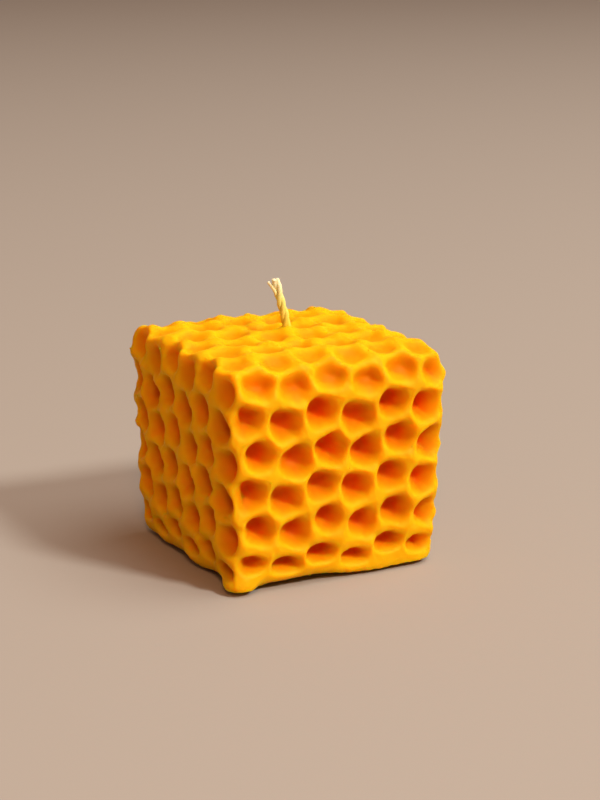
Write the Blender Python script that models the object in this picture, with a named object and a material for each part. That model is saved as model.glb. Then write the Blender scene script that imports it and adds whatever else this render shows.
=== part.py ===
"""Honeycomb candle: one cast block of beeswax with cell relief, and a plied cotton wick.

Metres, +Z up. The origin is the middle of the base, on the surface that the candle stands on.
The wax is a drafted cube with rounded edges. Its relief is a pocket for each honeycomb cell,
laid out on one grid that runs round the four sides and on over the top.
"""
import math

import bmesh
import bpy
from mathutils import Matrix, Vector

# Wax body
TOP_WIDTH = 0.060           # rim to rim, both ways, where the top edges start to round
BASE_WIDTH = 0.0565         # the sides draw in towards the base
BODY_HEIGHT = 0.055
EDGE_RADIUS = 0.009         # upright edges and top edges
BASE_EDGE_RADIUS = 0.003    # round the base
EDGE_SEGMENTS = 4

# Honeycomb relief
CELLS_ACROSS = 6            # cells along each side of a face
CELL_SHIFT = 0.12           # how far alternate rows and columns step aside, in cell widths
ROW_PITCH = 0.00875         # height of a row of cells on the sides
TOP_ROW_HEIGHT = 0.0490     # middle of the top row on the sides
WOBBLE = 0.0003             # how far hand-carved cells stray from their grid
MOUTH_WIDTH = 0.0092
MOUTH_HEIGHT = 0.0084
BASE_ROW_MOUTH = 0.0054     # the cells next to the base are half filled
BASE_ROW_RAISE = 0.0010
SIDE_DEPTH = 0.0044
EDGE_ROW_DEPTH = 0.0034
TOP_DEPTH = 0.0028
CELL_SIDES = 8
BOWL = ((-0.30, 1.08), (0.45, 0.78), (1.0, 0.38))   # depth and radius of each ring, as fractions

# Wick: three yarns laid into one cord
YARNS = 3
YARN_RADIUS = 0.00037
LAY_RADIUS = 0.00060        # from the cord's middle line to the middle of a yarn
LAY_LENGTH = 0.009          # height of one full turn
CHANNEL_RADIUS = 0.00130
WICK_FOOT = 0.0004          # trimmed just inside the base
WICK_TOP = 0.0668
LEAN = Vector((-0.0026, 0.0013, 0.0))    # how far the free end steps aside
FORK = 0.0632               # height at which the last yarn parts from the others
PEEL = 0.0019               # how far it stands off at its tip, on the side that the wick leans to
PEELED_TOP = 0.0660
POINTS_PER_TURN = 9

HALF_FLAT = TOP_WIDTH / 2 - EDGE_RADIUS
WALL_TOP = BODY_HEIGHT - EDGE_RADIUS
FACE_LENGTH = 2 * HALF_FLAT + EDGE_RADIUS * math.pi / 2
COLUMN_PITCH = FACE_LENGTH / CELLS_ACROSS


def clear_scene():
    """Remove every object that the file opens with."""
    for item in list(bpy.data.objects):
        bpy.data.objects.remove(item, do_unlink=True)


def make_material(name, colour, roughness):
    """A plain Principled material."""
    material = bpy.data.materials.new(name)
    material.use_nodes = True
    shader = material.node_tree.nodes["Principled BSDF"]
    shader.inputs["Base Color"].default_value = (*colour, 1.0)
    shader.inputs["Roughness"].default_value = roughness
    shader.inputs["Metallic"].default_value = 0.0
    return material


def mesh_object(name, bm):
    """Turn a bmesh into an object of the scene."""
    mesh = bpy.data.meshes.new(name)
    bm.to_mesh(mesh)
    bm.free()
    item = bpy.data.objects.new(name, mesh)
    bpy.context.collection.objects.link(item)
    return item


def make_cutter(name, bm):
    """An object that only cuts, so it is drawn as wire and never rendered."""
    cutter = mesh_object(name, bm)
    cutter.hide_render = True
    cutter.display_type = "WIRE"
    return cutter


def cut(item, cutter):
    """Take the cutter's shape out of the item."""
    modifier = item.modifiers.new(cutter.name, "BOOLEAN")
    modifier.operation = "DIFFERENCE"
    modifier.solver = "EXACT"
    modifier.object = cutter


def draft_scale(height):
    """Width of the body at a height, as a fraction of its top width."""
    share = min(max(height / WALL_TOP, 0.0), 1.0)
    return (BASE_WIDTH + (TOP_WIDTH - BASE_WIDTH) * share) / TOP_WIDTH


def make_block():
    """The cast block before its cells: a drafted cube, its edges rounded by bevel weight."""
    virtual_top = BASE_WIDTH + (TOP_WIDTH - BASE_WIDTH) * BODY_HEIGHT / WALL_TOP
    bm = bmesh.new()
    bmesh.ops.create_cube(bm, size=1.0)
    for vert in bm.verts:
        width = virtual_top if vert.co.z > 0 else BASE_WIDTH
        vert.co.x *= width
        vert.co.y *= width
        vert.co.z = (vert.co.z + 0.5) * BODY_HEIGHT
    weight = bm.edges.layers.float.new("bevel_weight_edge")
    for edge in bm.edges:
        at_base = all(vert.co.z < BODY_HEIGHT / 2 for vert in edge.verts)
        edge[weight] = BASE_EDGE_RADIUS / EDGE_RADIUS if at_base else 1.0
    block = mesh_object("wax_body", bm)
    rounding = block.modifiers.new("rounded_edges", "BEVEL")
    rounding.limit_method = "WEIGHT"
    rounding.width = EDGE_RADIUS
    rounding.segments = EDGE_SEGMENTS
    return block


def bend(distance, straight):
    """Follow a face to its straight part's end, then round the edge.

    Gives the distance reached along the face, the drop from its plane, and the angle turned.
    """
    angle = max(abs(distance) - straight, 0.0) / EDGE_RADIUS
    along = min(abs(distance), straight) + EDGE_RADIUS * math.sin(angle)
    drop = EDGE_RADIUS * (1.0 - math.cos(angle))
    return math.copysign(along, distance), drop, math.copysign(angle, distance)


def grid_place(column, row):
    """Middle of a cell on a flat grid: rows and columns step aside by turns, and wobble a little."""
    step_u = -CELL_SHIFT if row % 2 == 0 else CELL_SHIFT
    step_v = CELL_SHIFT if column % 2 == 0 else -CELL_SHIFT
    wobble_u = WOBBLE * math.sin(12.9 * column + 78.2 * row)
    wobble_v = WOBBLE * math.sin(39.3 * column + 11.1 * row)
    middle = (CELLS_ACROSS - 1) / 2
    across = (column % CELLS_ACROSS - middle + step_u) * COLUMN_PITCH + wobble_u
    return across, step_v, wobble_v


def add_pocket(bm, place, outward, upward, depth, width, height):
    """One cell: rings that narrow from just outside the surface down to a blunt floor."""
    outward = outward.normalized()
    sideways = upward.cross(outward).normalized()
    upward = outward.cross(sideways)
    rings = []
    for level, share in BOWL:
        ring = []
        for step in range(CELL_SIDES):
            turn = (step + 0.5) * 2 * math.pi / CELL_SIDES
            spot = place - outward * (level * depth)
            spot = spot + sideways * (math.cos(turn) * share * width / 2)
            spot = spot + upward * (math.sin(turn) * share * height / 2)
            ring.append(bm.verts.new(spot))
        rings.append(ring)
    bm.faces.new(rings[0])
    bm.faces.new(reversed(rings[-1]))
    for upper, lower in zip(rings, rings[1:]):
        for step in range(CELL_SIDES):
            after = (step + 1) % CELL_SIDES
            bm.faces.new((upper[after], upper[step], lower[step], lower[after]))


def add_side_cells(bm):
    """Six rows of cells round the four sides. The top row leans back onto the rounded edge."""
    for column in range(4 * CELLS_ACROSS):
        turn = Matrix.Rotation((column // CELLS_ACROSS) * math.pi / 2, 3, "Z")
        for row in range(CELLS_ACROSS):
            across, step_v, wobble_v = grid_place(column, row)
            climb = TOP_ROW_HEIGHT - (CELLS_ACROSS - 1 - row) * ROW_PITCH
            climb += step_v * ROW_PITCH + wobble_v
            depth, height = SIDE_DEPTH, MOUTH_HEIGHT
            if row == 0:
                climb += BASE_ROW_RAISE
                depth, height = EDGE_ROW_DEPTH, BASE_ROW_MOUTH
            if row == CELLS_ACROSS - 1:
                depth = EDGE_ROW_DEPTH
            x, drop_u, angle_u = bend(across, HALF_FLAT)
            z, drop_v, angle_v = bend(climb, WALL_TOP)
            slimmer = draft_scale(z)
            place = Vector((x, -TOP_WIDTH / 2 + drop_u + drop_v, 0.0)) * slimmer
            place.z = z
            outward = Vector((math.sin(angle_u), -math.cos(angle_u) * math.cos(angle_v), math.sin(angle_v)))
            add_pocket(bm, turn @ place, turn @ outward, Vector((0, 0, 1)), depth, MOUTH_WIDTH, height)


def add_top_cells(bm):
    """Six by six shallower cells on the top, whose rows carry on from the sides' rows."""
    for column in range(CELLS_ACROSS):
        for row in range(CELLS_ACROSS):
            across, step_v, wobble_v = grid_place(column, row)
            away = (row - (CELLS_ACROSS - 1) / 2 + step_v) * COLUMN_PITCH + wobble_v
            x, drop_u, angle_u = bend(across, HALF_FLAT)
            y, drop_v, angle_v = bend(away, HALF_FLAT)
            place = Vector((x, y, BODY_HEIGHT - drop_u - drop_v))
            outward = Vector((math.sin(angle_u), math.sin(angle_v), math.cos(angle_u) * math.cos(angle_v)))
            add_pocket(bm, place, outward, Vector((0, 1, 0)), TOP_DEPTH, MOUTH_WIDTH, MOUTH_WIDTH)


def make_wax_body(material):
    """The wax casting: block, cells, and the channel that the wick was drawn through."""
    body = make_block()
    cells = bmesh.new()
    add_side_cells(cells)
    add_top_cells(cells)
    bmesh.ops.recalc_face_normals(cells, faces=cells.faces)
    cut(body, make_cutter("cell_cutter", cells))
    channel = bmesh.new()
    bmesh.ops.create_cone(
        channel, cap_ends=True, segments=16, radius1=CHANNEL_RADIUS, radius2=CHANNEL_RADIUS,
        depth=BODY_HEIGHT * 2, matrix=Matrix.Translation((0, 0, BODY_HEIGHT / 2)))
    cut(body, make_cutter("channel_cutter", channel))
    body.data.materials.append(material)


def wick_middle(height):
    """Middle line of the wick: upright inside the wax, then aside and upright again, as an S."""
    free = max(height - BODY_HEIGHT, 0.0) / (WICK_TOP - BODY_HEIGHT)
    return LEAN * (free * free * (3 - 2 * free)) + Vector((0, 0, height))


def yarn_point(number, height):
    """Middle line of a yarn: a helix round the cord, which the last yarn leaves at the fork."""
    peeled = number == YARNS - 1
    turned = min(height, FORK) if peeled else height
    turn = math.atan2(LEAN.y, LEAN.x) + 2 * math.pi * ((turned - FORK) / LAY_LENGTH + (number + 1) / YARNS)
    spread = LAY_RADIUS
    if peeled:
        spread += PEEL * max(height - FORK, 0.0) / (PEELED_TOP - FORK)
    return wick_middle(height) + Vector((math.cos(turn), math.sin(turn), 0.0)) * spread


def make_yarn(number, material):
    """One yarn of the wick, a round tube along its middle line."""
    top = PEELED_TOP if number == YARNS - 1 else WICK_TOP
    count = round((top - WICK_FOOT) / LAY_LENGTH * POINTS_PER_TURN) + 1
    curve = bpy.data.curves.new(f"wick_yarn_{number + 1}", "CURVE")
    curve.dimensions = "3D"
    curve.bevel_depth = YARN_RADIUS
    curve.bevel_resolution = 1
    curve.use_fill_caps = True
    spline = curve.splines.new("POLY")
    spline.points.add(count - 1)
    for step, point in enumerate(spline.points):
        height = WICK_FOOT + (top - WICK_FOOT) * step / (count - 1)
        point.co = (*yarn_point(number, height), 1.0)
    yarn = bpy.data.objects.new(curve.name, curve)
    bpy.context.collection.objects.link(yarn)
    yarn.data.materials.append(material)


clear_scene()
make_wax_body(make_material("beeswax", (0.88, 0.34, 0.006), 0.5))
cotton = make_material("cotton", (0.86, 0.72, 0.42), 0.85)
for yarn_number in range(YARNS):
    make_yarn(yarn_number, cotton)
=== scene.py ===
"""Looks of a honeycomb beeswax candle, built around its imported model. Metres, +Z up."""
import math

import bpy
import numpy as np
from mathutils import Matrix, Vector


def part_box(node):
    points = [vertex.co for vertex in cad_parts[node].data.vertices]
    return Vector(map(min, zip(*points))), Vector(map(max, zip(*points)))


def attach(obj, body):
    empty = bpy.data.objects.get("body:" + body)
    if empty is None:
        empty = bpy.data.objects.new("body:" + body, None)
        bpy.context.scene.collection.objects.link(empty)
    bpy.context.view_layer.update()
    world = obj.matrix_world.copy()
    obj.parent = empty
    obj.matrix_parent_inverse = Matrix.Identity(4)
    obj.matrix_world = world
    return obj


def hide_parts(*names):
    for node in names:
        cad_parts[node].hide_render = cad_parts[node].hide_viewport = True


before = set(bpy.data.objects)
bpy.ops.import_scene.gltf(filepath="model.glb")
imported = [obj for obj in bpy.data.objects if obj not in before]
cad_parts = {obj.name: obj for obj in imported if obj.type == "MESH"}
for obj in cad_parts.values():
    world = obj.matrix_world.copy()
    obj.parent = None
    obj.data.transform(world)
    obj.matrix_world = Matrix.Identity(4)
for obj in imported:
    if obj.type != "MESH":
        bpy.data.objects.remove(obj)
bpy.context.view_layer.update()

# --- Camera -----------------------------------------------------------------------------------
# A long lens a little above the table, turned to one corner, so that two sides and the top show.
camera_data = bpy.data.cameras.new("camera")
camera_data.sensor_fit = "HORIZONTAL"
camera_data.sensor_width = 36.0
camera_data.lens = 120.0
camera_data.clip_start = 0.01
camera = bpy.data.objects.new("camera", camera_data)
bpy.context.collection.objects.link(camera)
camera_turn, camera_rise, camera_away = math.radians(-27.4), math.radians(15.5), 0.484
camera_middle = Vector((0.0, 0.0, 0.030))
camera.location = camera_middle + camera_away * Vector((
    math.sin(camera_turn) * math.cos(camera_rise),
    -math.cos(camera_turn) * math.cos(camera_rise),
    math.sin(camera_rise)))
camera_aim = Vector((0.0038, 0.0001, 0.0367))
camera.rotation_euler = (camera_aim - camera.location).to_track_quat("-Z", "Y").to_euler()
bpy.context.scene.camera = camera

# --- Wax body ---------------------------------------------------------------------------------
# One casting of filtered beeswax. It was poured upside down into a rubber mould that carries the
# comb relief, so its sides and top are cells and its base is the plain poured face. Wax climbs
# the wick a little where the two meet, and the thin rims let the light through.
EDGE_RADIUS = 0.009
BASE_WIDTH = 0.0565              # the sides lean in to this at the base
NET_SQUARES = 126                # net squares along each side of the block
CELLS_ACROSS = 6
CELL_SHIFT = 0.12                # share of a cell that rows and columns step aside by turns
ROW_PITCH = 0.00875
TOP_ROW_HEIGHT = 0.0490
BASE_ROW_RAISE = 0.0010
WOBBLE = 0.0003                  # how far the middle of each cell strays
UPRIGHT_POWER = 2.5              # superellipse powers of the edges: 2 is round, higher is squarer
TOP_POWER = 2.0
SQUARER_POWER = 3.4              # of the upright and top edges on -X
BASE_POWER = 4.5
FRONT_BASE_POWERS = 4.2, 12.0    # of the base edge on -Y, at its left and at its right
FRONT_CHANGE = -0.006, 0.018     # where along X the one changes into the other
FOOT_POWER = 12.0                # of the base edge at the foot, the corner the last wax ran to
FOOT_START = 0.0228              # the foot takes in the corner past this, on both -X and -Y
FOOT_BLEND = 0.0006
body_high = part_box("wax_body")[1]
half_width, body_height = body_high.x, body_high.z
half_flat = half_width - EDGE_RADIUS
wall_top = body_height - EDGE_RADIUS
quarter_edge = EDGE_RADIUS * math.pi / 4
column_pitch = (2 * half_flat + 2 * quarter_edge) / CELLS_ACROSS


def put_mesh(name, points, faces):
    """Makes a smooth mesh object from whole arrays of points and equal-sided faces."""
    mesh = bpy.data.meshes.new(name)
    sides = faces.shape[1]
    mesh.vertices.add(len(points))
    mesh.vertices.foreach_set("co", points.astype(np.float32).ravel())
    mesh.loops.add(faces.size)
    mesh.loops.foreach_set("vertex_index", faces.astype(np.int32).ravel())
    mesh.polygons.add(len(faces))
    mesh.polygons.foreach_set("loop_start", np.arange(0, faces.size, sides, dtype=np.int32))
    mesh.update(calc_edges=True)
    mesh.validate()
    mesh.shade_smooth()
    item = bpy.data.objects.new(name, mesh)
    bpy.context.collection.objects.link(item)
    return item


def put_attribute(item, name, values):
    """Stores one number for each point, for the material to read."""
    layer = item.data.attributes.new(name, "FLOAT", "POINT")
    layer.data.foreach_set("value", values.astype(np.float32))


def cube_net(squares):
    """Skin of a cube as one closed net, each point running from -1 to 1 on three axes.

    Each of the six sides is a square grid; points that sides share are merged.
    """
    points, quads = [], []
    row, column = np.meshgrid(np.arange(squares + 1), np.arange(squares + 1), indexing="ij")
    index = row * (squares + 1) + column
    quad = np.stack([index[:-1, :-1], index[1:, :-1], index[1:, 1:], index[:-1, 1:]], -1)
    quad = quad.reshape(-1, 4)
    for axis in range(3):
        for end in (0, squares):
            side = np.empty((squares + 1, squares + 1, 3), int)
            side[..., axis] = end
            side[..., (axis + 1) % 3] = row
            side[..., (axis + 2) % 3] = column
            quads.append((quad if end else quad[:, ::-1]) + len(points) * index.size)
            points.append(side.reshape(-1, 3))
    merged, inverse = np.unique(np.concatenate(points), axis=0, return_inverse=True)
    return 2.0 * merged / squares - 1.0, inverse.reshape(-1)[np.concatenate(quads)]


def unroll(share, straight):
    """Turns a net coordinate into a distance on the sharp cube, so that arcs get even steps.

    Past the straight part the distance is the tangent of the angle turned.
    """
    reach = np.abs(share) * (straight + quarter_edge)
    turned = np.maximum(reach - straight, 0.0) / EDGE_RADIUS
    return np.sign(share) * (np.minimum(reach, straight) + EDGE_RADIUS * np.tan(turned))


def settle(spots):
    """Brings points onto the rounded block.

    A point goes one edge radius out from the nearest point of an inner core box. The arcs are
    superellipses, where the sum of both sides to a power is one, and each edge has its own power.
    """
    middle = np.array([0.0, 0.0, body_height / 2])
    core = np.array([half_flat, half_flat, body_height / 2 - EDGE_RADIUS])
    inner = np.clip(spots - middle, -core, core)
    out = spots - middle - inner
    across, along, rise = np.abs(out).T
    upright = np.where(out[:, 0] < 0, SQUARER_POWER, UPRIGHT_POWER)
    flat = (across ** upright + along ** upright) ** (1 / upright)
    sideways = across ** 2 / (across ** 2 + along ** 2 + 1e-12)
    squarer = np.where(out[:, 0] < 0, sideways, 0.0)
    fronting = np.where(out[:, 1] < 0, 1 - sideways, 0.0)
    foot = 1 / (1 + np.exp((spots[:, :2].max(1) + FOOT_START) / FOOT_BLEND))
    front_power = np.interp(spots[:, 0], FRONT_CHANGE, FRONT_BASE_POWERS)
    base = BASE_POWER + fronting * (front_power - BASE_POWER) * (1 - foot)
    base = base + (FOOT_POWER - BASE_POWER) * foot
    power = np.where(out[:, 2] < 0, base, TOP_POWER + (SQUARER_POWER - TOP_POWER) * squarer)
    size = (flat ** power + rise ** power) ** (1 / power)
    return middle + inner + out * (EDGE_RADIUS / size)[:, None]


def net_normals(points, faces):
    """Outward normals of a net of quads: each point adds up the cross products of diagonals."""
    corners = points[faces]
    cross = np.cross(corners[:, 2] - corners[:, 0], corners[:, 3] - corners[:, 1])
    normal = np.stack([
        np.bincount(faces.ravel(), np.repeat(cross[:, axis], 4), len(points)) for axis in range(3)], 1)
    return normal / np.linalg.norm(normal, axis=1)[:, None]


def bend(distance, straight):
    """Follows a face past its straight part, then round the arc: distance along, and drop."""
    angle = np.maximum(np.abs(distance) - straight, 0.0) / EDGE_RADIUS
    along = np.minimum(np.abs(distance), straight) + EDGE_RADIUS * np.sin(angle)
    return np.sign(distance) * along, EDGE_RADIUS * (1 - np.cos(angle))


def cell_places():
    """Middles of all cells on the undrafted block, each one's row (6 and up on the top) and side.

    Rows and columns step aside by turns, about a quarter of a cell in all, and wobble a little.
    """
    places, rows, sides = [], [], []
    for side in range(5):
        column, row = np.meshgrid(np.arange(CELLS_ACROSS), np.arange(CELLS_ACROSS), indexing="ij")
        column, row = column.ravel(), row.ravel()
        count = column + CELLS_ACROSS * (side if side < 4 else 0)
        middle = (CELLS_ACROSS - 1) / 2
        across = (column - middle + np.where(row % 2, CELL_SHIFT, -CELL_SHIFT)) * column_pitch
        across = across + WOBBLE * np.sin(12.9 * count + 78.2 * row)
        step = np.where(column % 2, -CELL_SHIFT, CELL_SHIFT)
        lift = WOBBLE * np.sin(39.3 * count + 11.1 * row)
        if side == 4:
            x, drop_u = bend(across, half_flat)
            y, drop_v = bend((row - middle + step) * column_pitch + lift, half_flat)
            place = np.stack([x, y, body_height - drop_u - drop_v], 1)
        else:
            climb = TOP_ROW_HEIGHT - (CELLS_ACROSS - 1 - row) * ROW_PITCH + step * ROW_PITCH + lift
            x, drop_u = bend(across, half_flat)
            z, drop_v = bend(climb + np.where(row == 0, BASE_ROW_RAISE, 0.0), wall_top)
            y = -half_width + drop_u + drop_v
            turn = side * math.pi / 2
            place = np.stack([
                x * math.cos(turn) - y * math.sin(turn), x * math.sin(turn) + y * math.cos(turn), z], 1)
        places.append(place)
        rows.append(row + (CELLS_ACROSS if side == 4 else 0))
        sides.append(np.full(len(row), side))
    return np.concatenate(places), np.concatenate(rows), np.concatenate(sides)


def waves(spots, length, seed, count=7):
    """Random swell, mostly between -1 and 1: a sum of sine waves in random directions."""
    draw = np.random.default_rng(seed)
    direction = draw.normal(size=(count, 3))
    direction *= (2 * math.pi / length / np.linalg.norm(direction, axis=1))[:, None]
    phase = draw.uniform(0, 2 * math.pi, count)
    return np.sin(spots @ direction.T + phase).sum(1) / math.sqrt(count * 2)


def nearest_cells(spots, places, count):
    """The nearest cells to each point, in order, and the square distances to them."""
    square = (spots ** 2).sum(1)[:, None] - 2 * spots @ places.T + (places ** 2).sum(1)
    order = np.argpartition(square, count, axis=1)[:, :count]
    nearest = np.take_along_axis(square, order, 1)
    rank = np.argsort(nearest, axis=1)
    return np.take_along_axis(order, rank, 1), np.take_along_axis(nearest, rank, 1)


GATHERING = 0.4                  # how strongly the net is drawn to the rims
GATHER_HEIGHTS = 0.002, 0.008    # between these it sets in, because the base is plain


def gather_to_rims(spots, places):
    """Slides net points outwards in their own cells, so that rims get a finer net than floors.

    With r the share of the way from middle to border, and s the strength, r becomes
    r (1 + s (1 - r)).
    """
    order, square = nearest_cells(spots, places, 6)
    own, others = places[order[:, 0]], places[order[:, 1:]]
    gap = np.linalg.norm(others - own[:, None], axis=2)
    border = ((square[:, 1:] - square[:, :1]) / (2 * gap)).min(1)
    reach = np.sqrt(np.maximum(square[:, 0], 0.0))
    share = reach / (reach + border + 1e-9)
    strength = np.interp(spots[:, 2], GATHER_HEIGHTS, (0.0, GATHERING))
    return own + (spots - own) * (1 + strength * (1 - share))[:, None]


# The blank block: net points on it, and the way out at each.
net, wax_faces = cube_net(NET_SQUARES)
sharp = np.stack([
    unroll(net[:, 0], half_flat), unroll(net[:, 1], half_flat),
    body_height / 2 + unroll(net[:, 2], body_height / 2 - EDGE_RADIUS)], 1)
places, cell_rows, cell_sides = cell_places()
places = settle(places)
block = settle(sharp)
block = settle(gather_to_rims(block, places))
normal = net_normals(block, wax_faces)

# Each cell's depth and mouth. The cells along the top edges and on the top are shallower.
SIDE_DEPTH, EDGE_ROW_DEPTH, TOP_DEPTH = 0.0060, 0.0038, 0.0022
MOUTH_RADIUS = 0.00455
DEPTH_SPREAD, MOUTH_SPREAD = 0.08, 0.075
SPREAD_LIMIT = 1.5               # no cell differs by more than this many spreads
BASE_ROW_SQUEEZE = 1.9           # the lowest cells are about half as high as the others
draw = np.random.default_rng(41)
cell_depth = np.where(cell_rows >= CELLS_ACROSS, TOP_DEPTH, SIDE_DEPTH)
cell_depth = np.where(cell_rows == CELLS_ACROSS - 1, EDGE_ROW_DEPTH, cell_depth)
spread = draw.normal(size=len(places)).clip(-SPREAD_LIMIT, SPREAD_LIMIT)
cell_depth = cell_depth * (1 + DEPTH_SPREAD * spread)
spread = draw.normal(size=len(places)).clip(-SPREAD_LIMIT, SPREAD_LIMIT)
cell_radius = MOUTH_RADIUS * (1 + MOUTH_SPREAD * spread)
squeeze = np.where(cell_rows == 0, BASE_ROW_SQUEEZE, 1.0)

# Borders: how far each point is inside its cell, measured to half way to each of the next cells
# less the rim, to the round mouth and to the plain band. A soft minimum of all of them counts:
# minus the log of the sum of exp(-k d), over k.
RIM_RIB = 0.00028                # half thickness of the upright rims, where they are thinnest
RIM_LEDGE = 0.00068              # half thickness of the level rims
RIM_TOP = 0.00070                # half thickness of the rims on the top
RIM_WANDER = 0.00021
BAND_HEIGHT = 0.0032             # plain band under the lowest cells
BAND_WANDER = 0.0005
CORNER_SHARPNESS = 1 / 0.0005    # higher is a sharper corner where borders meet
NEAR_BORDER = -0.004, 0.01       # farther distances are cut off here, which keeps exp small
order, square = nearest_cells(block, places, 8)
own = order[:, 0]
offset = block - places[own]
toward = places[order[:, 1:]] - places[own][:, None]
gap = np.linalg.norm(toward, axis=2)
steep = toward[:, :, 2] / gap
on_top = np.clip((block[:, 2] - wall_top) / EDGE_RADIUS, 0, 1) ** 2
rim = RIM_RIB + (RIM_LEDGE - RIM_RIB) * steep ** 2
rim = rim + (RIM_TOP - rim) * on_top[:, None]
border = (square[:, 1:] - square[:, :1]) / (2 * gap)
second = np.sort(border, axis=1)[:, 1]
border = border - rim + RIM_WANDER * waves(block, 0.0042, seed=21, count=12)[:, None]
off_middle = offset * np.stack([np.ones(len(block))] * 2 + [squeeze[own]], 1)
mouth = cell_radius[own] - np.linalg.norm(off_middle, axis=1)
band = block[:, 2] - BAND_HEIGHT + BAND_WANDER * waves(block * [1, 1, 0], 0.013, seed=17)
border = np.concatenate([border, mouth[:, None], band[:, None]], 1).clip(*NEAR_BORDER)
border = -np.log(np.exp(-CORNER_SHARPNESS * border).sum(1)) / CORNER_SHARPNESS

# Bowls: with t the way in from the border, as a share of the radius, the depth goes by
# 1 - (1 - t)^p. On the sides the walls are steeper, and the bowls deeper, at the upper right.
RIM_ROUNDING = 0.00030
CELL_TILT = 0.60                 # how much steeper a cell's wall is at its upper right
TILT_RIGHT, TILT_UP = 0.75, 0.6
BOWL_RUN = 1.15                  # how soon a bowl reaches its floor
BOWL_POWER, POWER_TILT = 2.45, 1.7
DEPTH_TILT = 0.3
run_in = 0.5 * (border + np.sqrt(border ** 2 + RIM_ROUNDING ** 2))
side_turn = cell_sides[own] * math.pi / 2
rightward = offset[:, 0] * np.cos(side_turn) + offset[:, 1] * np.sin(side_turn)
tilt = CELL_TILT * (TILT_RIGHT * rightward + TILT_UP * offset[:, 2]) / cell_radius[own]
tilt = tilt * (cell_sides[own] < 4)
inwards = np.clip(run_in / cell_radius[own] * (BOWL_RUN + tilt), 0, 1)
bowl = 1 - (1 - inwards) ** (BOWL_POWER + POWER_TILT * tilt)
drop = cell_depth[own] * bowl * (1 + DEPTH_TILT * tilt)

# The hand-cast look: rims that sink between the points where three of them meet, swells of three
# lengths over the whole skin, and a collar of wax drawn up the wick.
RIM_DIP = 0.0007
DIP_REACH = 0.0019
SWELL, SMALL_SWELL, RIM_RIPPLE = 0.00022, 0.00010, 0.00009
SKIN_BELOW = 0.00030             # how far the skin lies under the blank, which leaves room to swell
COLLAR_HEIGHT, COLLAR_REACH = 0.0012, 0.0017
dip = RIM_DIP * (1 + 0.6 * waves(block, 0.016, seed=9))
dip = dip * (1 - np.exp(-(second / DIP_REACH) ** 2)) * (1 - bowl)
swell = SWELL * waves(block, 0.021, seed=3) + SMALL_SWELL * waves(block, 0.007, seed=4)
swell = swell + RIM_RIPPLE * waves(block, 0.0022, seed=5, count=16) * (1 - 0.7 * bowl)
from_wick = np.hypot(block[:, 0], block[:, 1])
collar = COLLAR_HEIGHT * np.exp(-(from_wick / COLLAR_REACH) ** 2) * (block[:, 2] > wall_top)
wax_points = block - normal * (drop + dip + SKIN_BELOW - swell - collar)[:, None]

# The sides lean in towards the base. The foot swells out, by exp(-d^4) of the way from its middle
# line and exp(-d^2) up and down it. The flash, a thin skin of wax, creeps out along the base edge
# and fades by exp(-d^2) upwards.
FOOT_MIDDLE = 0.0262             # on both -X and -Y
FOOT_BULGE, FOOT_REACH = 0.0013, 0.0052
FOOT_LEVEL, FOOT_HEIGHT = 0.0020, 0.0026
FLASH_REACH, FLASH_HEIGHT = 0.0006, 0.0007
FLASH_SHARE, FLASH_WAVES = 0.45, 0.8    # how much of its reach it has on average, and how it varies
BASE_MIDDLE = 0.0195             # the flash leaves the middle of the base alone, out to this
share = np.clip(wax_points[:, 2] / wall_top, 0, 1)
slimmer = (BASE_WIDTH + (2 * half_width - BASE_WIDTH) * share) / (2 * half_width)
wax_points[:, :2] *= slimmer[:, None]
from_foot = np.hypot(wax_points[:, 0] + FOOT_MIDDLE, wax_points[:, 1] + FOOT_MIDDLE)
bulge = FOOT_BULGE * np.exp(-(from_foot / FOOT_REACH) ** 4)
bulge = bulge * np.exp(-((wax_points[:, 2] - FOOT_LEVEL) / FOOT_HEIGHT) ** 2)
wax_points[:, :2] -= bulge[:, None]
creep = FLASH_SHARE + FLASH_WAVES * waves(wax_points * [1, 1, 0], 0.011, seed=11)
flash = FLASH_REACH * np.clip(creep, 0, 1) * np.exp(-(wax_points[:, 2] / FLASH_HEIGHT) ** 2)
flash = flash * (np.abs(wax_points[:, :2]).max(1) > BASE_MIDDLE)
wax_points[:, :2] += normal[:, :2] * flash[:, None]
wax_points[:, 2] = np.maximum(wax_points[:, 2], 0.0)

# Crumbs: bits of torn wax left on the rims, each a small uneven pebble sunk into the skin.
CRUMBS = 80
CRUMB_STRETCH = 0.6, 1.4         # least and most, along each axis
CRUMB_RADIUS = 0.00009, 0.00021
CRUMB_RAISE = 0.00006
# Crumbs and crests are painted more pale: partly wax bloom, partly a painted highlight of light through
# thin wax.
CRUMB_CREST = 2.0                # crumbs are as pale as the rims' crests can get
CRUMB_LOWEST = 0.002
CREST_REACH = 0.0006             # how far into a cell the pale colour of its rim goes
pebble, pebble_faces = cube_net(2)
pebble /= np.linalg.norm(pebble, axis=1)[:, None]
rim_spots = np.flatnonzero((border < 0) & (wax_points[:, 2] > CRUMB_LOWEST))
crumb_spots = draw.choice(rim_spots, CRUMBS, replace=False)
least, most = np.array([CRUMB_STRETCH] * 3 + [CRUMB_RADIUS]).T
crumb_sizes = draw.uniform(least, most, (CRUMBS, 4))[:, None]
crumbs = pebble * crumb_sizes[..., :3] * crumb_sizes[..., 3:]
crumbs = crumbs + (wax_points[crumb_spots] + CRUMB_RAISE * normal[crumb_spots])[:, None]
crumb_starts = len(wax_points) + len(pebble) * np.arange(CRUMBS)
crumb_faces = pebble_faces + crumb_starts[:, None, None]
wax_points = np.concatenate([wax_points, crumbs.reshape(-1, 3)])
wax_faces = np.concatenate([wax_faces, crumb_faces.reshape(-1, 4)])
# hollow drives painted shade: the material paints the deeper parts of the cells darker and redder.
hollow = np.concatenate([drop / SIDE_DEPTH, np.zeros(CRUMBS * len(pebble))])
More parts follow.
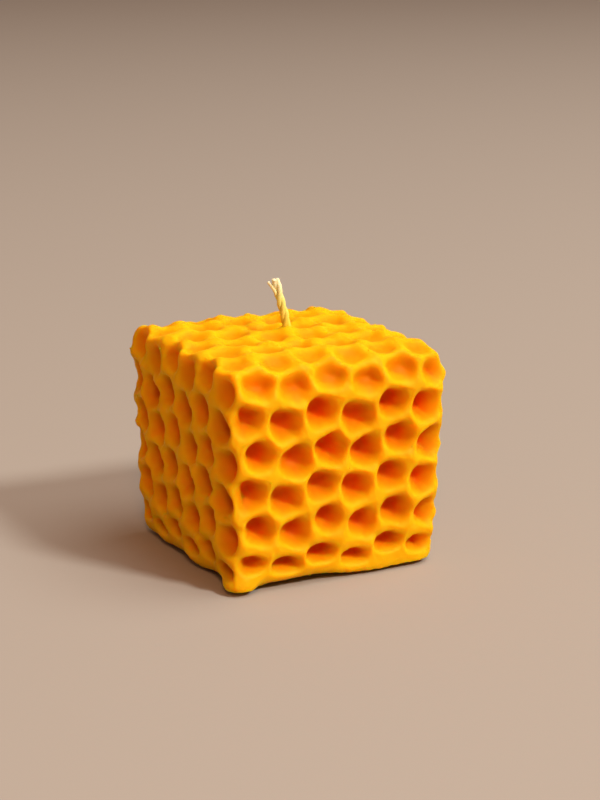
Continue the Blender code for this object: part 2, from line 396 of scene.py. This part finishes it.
# crest drives the more pale rim colour: partly wax bloom, partly a painted glow of light through the
# thin rims.
crest = np.exp(-(np.maximum(border, 0) / CREST_REACH) ** 2)
crest = np.concatenate([crest, np.full(CRUMBS * len(pebble), CRUMB_CREST)])

wax_body = put_mesh("wax_body_cast", wax_points, wax_faces)
put_attribute(wax_body, "hollow", hollow)
put_attribute(wax_body, "crest", crest)


def node(tree, kind, **sockets):
    """Adds a shader node and sets its inputs, by name, to values."""
    made = tree.nodes.new(kind)
    for name, value in sockets.items():
        made.inputs[name.replace("_", " ")].default_value = value
    return made


# Beeswax: yellow at the rims, with painted shade in the hollows that is a deeper, redder orange the
# deeper the cell. The rims' crests are more pale, partly from wax bloom and partly from a painted glow
# of light through the thin rims. Cloudy patches and a fine grain; light spreads far into it, red the
# farthest.
wax = bpy.data.materials.new("beeswax")
wax.use_nodes = True
tree = wax.node_tree
shader = tree.nodes["Principled BSDF"]
place_node = node(tree, "ShaderNodeTexCoord")
hollow_node = node(tree, "ShaderNodeAttribute")
hollow_node.attribute_name = "hollow"
# Painted shade: the base colour gets darker and redder with depth, standing in for light lost and
# reddened in the cells.
painted_shade_ramp = node(tree, "ShaderNodeValToRGB")
ramp = painted_shade_ramp.color_ramp
ramp.elements[0].position, ramp.elements[0].color = 0.04, (0.70, 0.345, 0.001, 1)
ramp.elements[1].position, ramp.elements[1].color = 0.95, (0.80, 0.135, 0.001, 1)
for depth, colour in ((0.20, (0.69, 0.275, 0.001, 1)), (0.55, (0.71, 0.205, 0.001, 1))):
    ramp.elements.new(depth).color = colour
tree.links.new(hollow_node.outputs["Fac"], painted_shade_ramp.inputs["Fac"])

# More pale crests: partly wax bloom, partly a painted glow and highlight where light shines through the
# rims.
crest_node = node(tree, "ShaderNodeAttribute")
crest_node.attribute_name = "crest"
crest_share = node(tree, "ShaderNodeMapRange")
crest_share.inputs["To Max"].default_value = 0.5
tree.links.new(crest_node.outputs["Fac"], crest_share.inputs["Value"])
bloom_and_rim_glow = node(tree, "ShaderNodeMix")
bloom_and_rim_glow.data_type = "RGBA"
bloom_and_rim_glow.inputs["B"].default_value = (0.72, 0.41, 0.004, 1)
tree.links.new(crest_share.outputs["Result"], bloom_and_rim_glow.inputs["Factor"])
tree.links.new(painted_shade_ramp.outputs["Color"], bloom_and_rim_glow.inputs["A"])

cloud = node(tree, "ShaderNodeTexNoise", Scale=110.0, Detail=3.0)
tree.links.new(place_node.outputs["Object"], cloud.inputs["Vector"])
cloud_shade = node(tree, "ShaderNodeMapRange")
cloud_shade.inputs["From Min"].default_value = 0.3
cloud_shade.inputs["From Max"].default_value = 0.7
cloud_shade.inputs["To Min"].default_value = 0.90
cloud_shade.inputs["To Max"].default_value = 1.05
tree.links.new(cloud.outputs["Fac"], cloud_shade.inputs["Value"])
clouded = node(tree, "ShaderNodeMix")
clouded.data_type = "RGBA"
clouded.blend_type = "MULTIPLY"
clouded.inputs["Factor"].default_value = 1.0
tree.links.new(bloom_and_rim_glow.outputs["Result"], clouded.inputs["A"])
tree.links.new(cloud_shade.outputs["Result"], clouded.inputs["B"])
tree.links.new(clouded.outputs["Result"], shader.inputs["Base Color"])

grain = node(tree, "ShaderNodeTexNoise", Scale=900.0, Detail=4.0)
tree.links.new(place_node.outputs["Object"], grain.inputs["Vector"])
dullness = node(tree, "ShaderNodeMapRange")
dullness.inputs["To Min"].default_value = 0.40
dullness.inputs["To Max"].default_value = 0.66
tree.links.new(grain.outputs["Fac"], dullness.inputs["Value"])
tree.links.new(dullness.outputs["Result"], shader.inputs["Roughness"])
bump = node(tree, "ShaderNodeBump", Strength=0.12, Distance=0.0004)
tree.links.new(grain.outputs["Fac"], bump.inputs["Height"])
tree.links.new(bump.outputs["Normal"], shader.inputs["Normal"])
shader.inputs["Specular IOR Level"].default_value = 0.05
shader.inputs["Subsurface Weight"].default_value = 1.0
shader.inputs["Subsurface Radius"].default_value = (1.0, 0.10, 0.02)
shader.inputs["Subsurface Scale"].default_value = 0.0050
wax_body.data.materials.append(wax)
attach(wax_body, "root")
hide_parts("wax_body")

# --- Wick yarns -------------------------------------------------------------------------------
# Three plain cotton yarns laid together as the wick, standing in the wax. They were cut by hand:
# one has sprung out of the lay near its end. Wax has soaked into them a few millimetres up.
YARNS = 3
YARN_RADIUS = 0.00052
LAY_RADIUS = 0.00058             # from the middle of the wick to the middle of each yarn
LAY_LENGTH = 0.009               # rise of one turn of the lay
TWIST_LENGTH = 0.0042            # rise of one turn of a yarn's own twist
WICK_FOOT = 0.0004
FORK = 0.0632                    # height at which the last yarn leaves the lay
PEEL = 0.0015                    # how far it stands off at its tip
PEELED_RADIUS = 0.00036
PEELED_TAPER = 0.0008
WICK_LEAN = np.array([-0.0020, 0.0011, 0.0])
SEEN_FROM = 0.0535               # the wick is hidden in the wax below this
HIDDEN_RINGS, SEEN_RINGS, RING_POINTS = 50, 330, 48
TIP_ROUNDING = 0.00018
CORE = 0.93                      # a yarn's radius between its bundles, as a share
BUNDLES, BUNDLE_DEPTH = 7, 0.11  # bundles of fibres round a yarn, and their share of its radius
STRANDS, STRAND_DEPTH = 11, 0.05 # finer strands within the bundles
STRAND_DRIFT = 700               # how fast they slide round them on the way up, per metre
LUMP_DEPTH = 0.05
STREAK_LENGTH = 0.004            # the streaks in the colour are drawn out by this
HAIRS = 34                       # loose fibres on each yarn
HAIR_RINGS, HAIR_SIDES = 7, 5
HAIR_LOWEST, HAIR_BELOW_TIP = 0.0556, 0.0002
HAIR_LENGTH = 0.0005, 0.0015
HAIR_RADIUS, HAIR_TAPER = 0.000020, 0.4
HAIR_STREAKS = 900               # scale of the colour's pattern on them, as they have no twist
SOAK_TOP, SOAK_LENGTH = 0.0660, 0.010    # dry above the first, soaked through this far below it
wick_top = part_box("wick_yarn_1")[1].z
peeled_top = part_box("wick_yarn_3")[1].z


def wick_middle(height):
    """Middle line of the wick: upright in the wax, then leaning by 3 t^2 - 2 t^3 of its lean."""
    free = np.clip((height - body_height) / (wick_top - body_height), 0, 1)
    return WICK_LEAN * (free ** 2 * (3 - 2 * free))[:, None] + height[:, None] * np.array([0, 0, 1.0])


def yarn_line(number, height):
    """Route of one yarn: a helix round the wick's middle line.

    The last yarn stops turning at the fork and moves outwards by its peel times t^1.5.
    """
    last = number == YARNS - 1
    turned = np.minimum(height, FORK) if last else height
    angle = math.atan2(WICK_LEAN[1], WICK_LEAN[0]) + 2 * math.pi * (
        (turned - FORK) / LAY_LENGTH + (number + 1) / YARNS)
    spread = LAY_RADIUS
    if last:
        past = np.clip((height - FORK) / (peeled_top - FORK), 0, 1)
        spread = LAY_RADIUS + PEEL * past ** 1.5
    beside = np.stack([np.cos(angle), np.sin(angle), 0 * angle], 1)
    return wick_middle(height) + beside * np.broadcast_to(spread, len(height))[:, None]


def side_and_up(route):
    """Two unit vectors square to a nearly upright route at each point."""
    ahead = np.gradient(route, axis=0)
    ahead /= np.linalg.norm(ahead, axis=1)[:, None]
    side = np.array([1.0, 0, 0]) - ahead[:, :1] * ahead
    side /= np.linalg.norm(side, axis=1)[:, None]
    return side, np.cross(ahead, side)


def sweep(route, radius):
    """Closed tube along a route: each point goes out from it by radius, at an even turn.

    Radius has a row for each ring and a column for each side. Each end closes on its middle.
    """
    rings, sides = radius.shape
    side, up = side_and_up(route)
    turn = np.arange(sides) * 2 * math.pi / sides
    ring = side[:, None] * np.cos(turn)[None, :, None] + up[:, None] * np.sin(turn)[None, :, None]
    points = (route[:, None] + ring * radius[:, :, None]).reshape(-1, 3)
    column, row = np.meshgrid(np.arange(sides), np.arange(rings - 1))
    here, beyond = row * sides + column, row * sides + (column + 1) % sides
    wall = np.stack([here, beyond, beyond + sides, here + sides], -1).reshape(-1, 4)
    first, after = np.arange(sides), (np.arange(sides) + 1) % sides
    top_ring = (rings - 1) * sides
    foot = np.stack([after, first, np.full(sides, len(points))], 1)
    tip = np.stack([first + top_ring, after + top_ring, np.full(sides, len(points) + 1)], 1)
    points = np.concatenate([points, route[:1], route[-1:]])
    return points, np.concatenate([wall[:, [0, 1, 2]], wall[:, [0, 2, 3]], foot, tip])


def loose_fibre(number, top, draw):
    """Route of a loose fibre: it rises evenly and bends outwards by t^1.6 and sideways by t^2."""
    start = draw.uniform(HAIR_LOWEST, top - HAIR_BELOW_TIP)
    length = draw.uniform(*HAIR_LENGTH)
    swing = draw.uniform(0, 2 * math.pi)
    along = np.linspace(0, 1, HAIR_RINGS)[:, None]
    out = np.array([math.cos(swing), math.sin(swing), 0.0])
    sideways = np.array([-math.sin(swing), math.cos(swing), 0.0])
    route = yarn_line(number, np.array([start])) + out * YARN_RADIUS * 0.8
    route = route + along * length * np.array([0, 0, 0.8])
    route = route + along ** 1.6 * length * draw.uniform(0.1, 0.6) * out
    return route + along ** 2 * length * draw.uniform(-0.6, 0.6) * sideways


cotton = bpy.data.materials.new("cotton_wick")
for number in range(YARNS):
    draw = np.random.default_rng(70 + number)
    last = number == YARNS - 1
    top = peeled_top if last else wick_top
    hidden_height = np.linspace(WICK_FOOT, SEEN_FROM, HIDDEN_RINGS)
    height = np.concatenate([hidden_height, np.linspace(SEEN_FROM + 0.0001, top, SEEN_RINGS)])
    route = yarn_line(number, height)
    turn = np.arange(RING_POINTS) * 2 * math.pi / RING_POINTS
    climb = height[:, None]
    untwisted = turn - 2 * math.pi * climb / TWIST_LENGTH
    bundles = BUNDLE_DEPTH * np.abs(np.sin(BUNDLES / 2 * untwisted))
    strands = STRAND_DEPTH * np.sin(STRANDS * untwisted + STRAND_DRIFT * climb)
    lumps = LUMP_DEPTH * waves(route, 0.0016, seed=90 + number)[:, None]
    size = np.full(len(height), YARN_RADIUS)
    if last:
        thinned = np.clip((height - FORK) / PEELED_TAPER, 0, 1)
        size = YARN_RADIUS + (PEELED_RADIUS - YARN_RADIUS) * thinned
    size = size * np.sqrt(np.clip((top - height) / TIP_ROUNDING, 0.15, 1))
    yarn_points, yarn_faces = sweep(route, size[:, None] * (CORE + bundles + strands + lumps))

    # Where the material's streaks run: round the yarn with its twist, and drawn out along it.
    drawn_out = np.broadcast_to(climb / STREAK_LENGTH, untwisted.shape)
    fibre = np.stack([np.cos(untwisted), np.sin(untwisted), drawn_out], 2)
    fibre = np.concatenate([fibre.reshape(-1, 3), fibre[:1, 0], fibre[-1:, 0]])
    for hair in range(HAIRS):
        thinning = np.linspace(HAIR_RADIUS, HAIR_TAPER * HAIR_RADIUS, HAIR_RINGS)
        hair_radius = np.repeat(thinning[:, None], HAIR_SIDES, 1)
        hair_points, hair_faces = sweep(loose_fibre(number, top, draw), hair_radius)
        yarn_faces = np.concatenate([yarn_faces, hair_faces + len(yarn_points)])
        yarn_points = np.concatenate([yarn_points, hair_points])
        fibre = np.concatenate([fibre, hair_points * HAIR_STREAKS])
    yarn = put_mesh("wick_yarn_%d_spun" % (number + 1), yarn_points, yarn_faces)
    put_attribute(yarn, "soaked", np.clip((SOAK_TOP - yarn_points[:, 2]) / SOAK_LENGTH, 0, 1))
    layer = yarn.data.attributes.new("fibre", "FLOAT_VECTOR", "POINT")
    layer.data.foreach_set("vector", fibre.astype(np.float32).ravel())
    yarn.data.materials.append(cotton)
    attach(yarn, "root")
    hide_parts("wick_yarn_%d" % (number + 1))

# Cotton: cream at the tip, yellow and waxy towards the body, with darker streaks along the fibres.
cotton.use_nodes = True
tree = cotton.node_tree
shader = tree.nodes["Principled BSDF"]
soaked_node = node(tree, "ShaderNodeAttribute")
soaked_node.attribute_name = "soaked"
fibre_node = node(tree, "ShaderNodeAttribute")
fibre_node.attribute_name = "fibre"
streaks = node(tree, "ShaderNodeTexNoise", Scale=5.0, Detail=5.0, Roughness=0.7)
tree.links.new(fibre_node.outputs["Vector"], streaks.inputs["Vector"])
soak_colour = node(tree, "ShaderNodeValToRGB")
ramp = soak_colour.color_ramp
ramp.elements[0].position, ramp.elements[0].color = 0.0, (0.84, 0.81, 0.52, 1)
ramp.elements[1].position, ramp.elements[1].color = 1.0, (0.78, 0.60, 0.045, 1)
ramp.elements.new(0.40).color = (0.78, 0.73, 0.20, 1)
tree.links.new(soaked_node.outputs["Fac"], soak_colour.inputs["Fac"])
streak_shade = node(tree, "ShaderNodeMapRange")
streak_shade.inputs["From Min"].default_value = 0.35
streak_shade.inputs["From Max"].default_value = 0.65
streak_shade.inputs["To Min"].default_value = 0.72
streak_shade.inputs["To Max"].default_value = 1.0
tree.links.new(streaks.outputs["Fac"], streak_shade.inputs["Value"])
streaked = node(tree, "ShaderNodeMix")
streaked.data_type = "RGBA"
streaked.blend_type = "MULTIPLY"
streaked.inputs["Factor"].default_value = 1.0
tree.links.new(soak_colour.outputs["Color"], streaked.inputs["A"])
tree.links.new(streak_shade.outputs["Result"], streaked.inputs["B"])
tree.links.new(streaked.outputs["Result"], shader.inputs["Base Color"])
fibre_bump = node(tree, "ShaderNodeBump", Strength=0.6, Distance=0.00008)
tree.links.new(streaks.outputs["Fac"], fibre_bump.inputs["Height"])
tree.links.new(fibre_bump.outputs["Normal"], shader.inputs["Normal"])
shader.inputs["Roughness"].default_value = 0.8
shader.inputs["Specular IOR Level"].default_value = 0.2
shader.inputs["Subsurface Weight"].default_value = 0.3
shader.inputs["Subsurface Radius"].default_value = (1.0, 0.7, 0.4)
shader.inputs["Subsurface Scale"].default_value = 0.0003

# --- Floor and light --------------------------------------------------------------------------
# A plain pale table. The key light hangs front right, a wide soft light high on the right, and a
# warm fill front left. The rest is weak warm room light, and a plain wall is seen far behind.
FLOOR_REACH = 4.0
floor_mesh = bpy.data.meshes.new("floor")
floor_corners = [(x * FLOOR_REACH, y * FLOOR_REACH, 0) for x, y in ((-1, -1), (1, -1), (1, 1), (-1, 1))]
floor_mesh.from_pydata(floor_corners, [], [(0, 1, 2, 3)])
floor = bpy.data.objects.new("floor", floor_mesh)
bpy.context.collection.objects.link(floor)
floor_material = bpy.data.materials.new("floor_pale")
floor_material.use_nodes = True
floor_shader = floor_material.node_tree.nodes["Principled BSDF"]
floor_shader.inputs["Base Color"].default_value = (0.330, 0.292, 0.250, 1)
floor_shader.inputs["Roughness"].default_value = 0.8
floor.data.materials.append(floor_material)

world = bpy.data.worlds.new("studio")
bpy.context.scene.world = world
world.use_nodes = True
tree = world.node_tree
room_light = tree.nodes["Background"]
room_light.inputs["Color"].default_value = (1.0, 0.58, 0.38, 1)
room_light.inputs["Strength"].default_value = 0.28
far_wall = node(tree, "ShaderNodeBackground", Color=(0.42, 0.33, 0.26, 1))
seen = node(tree, "ShaderNodeLightPath")
room = node(tree, "ShaderNodeMixShader")
tree.links.new(seen.outputs["Is Camera Ray"], room.inputs["Fac"])
tree.links.new(room_light.outputs["Background"], room.inputs[1])
tree.links.new(far_wall.outputs["Background"], room.inputs[2])
tree.links.new(room.outputs["Shader"], tree.nodes["World Output"].inputs["Surface"])

LIGHT_DISTANCE = 3.0


def put_softbox(name, size, power, colour, turn, rise):
    """Hangs a round soft light at a turn and a rise in degrees, facing the middle of the block."""
    light_data = bpy.data.lights.new(name, "AREA")
    light_data.shape = "DISK"
    light_data.size = size
    light_data.energy = power
    light_data.color = colour
    light = bpy.data.objects.new(name, light_data)
    bpy.context.collection.objects.link(light)
    turn, rise = math.radians(turn), math.radians(rise)
    aim = Vector((0.0, 0.0, body_height / 2))
    light.location = aim + LIGHT_DISTANCE * Vector((
        math.sin(turn) * math.cos(rise), -math.cos(turn) * math.cos(rise), math.sin(rise)))
    light.rotation_euler = (aim - light.location).to_track_quat("-Z", "Y").to_euler()


put_softbox("key", size=0.48, power=80.0, colour=(1.0, 1.0, 0.96), turn=26, rise=40)
put_softbox("overhead", size=2.4, power=62.0, colour=(1.0, 0.98, 0.95), turn=55, rise=66)
put_softbox("fill", size=0.6, power=37.0, colour=(1.0, 0.50, 0.25), turn=-26, rise=38)

bpy.context.scene.view_settings.view_transform = "Standard"
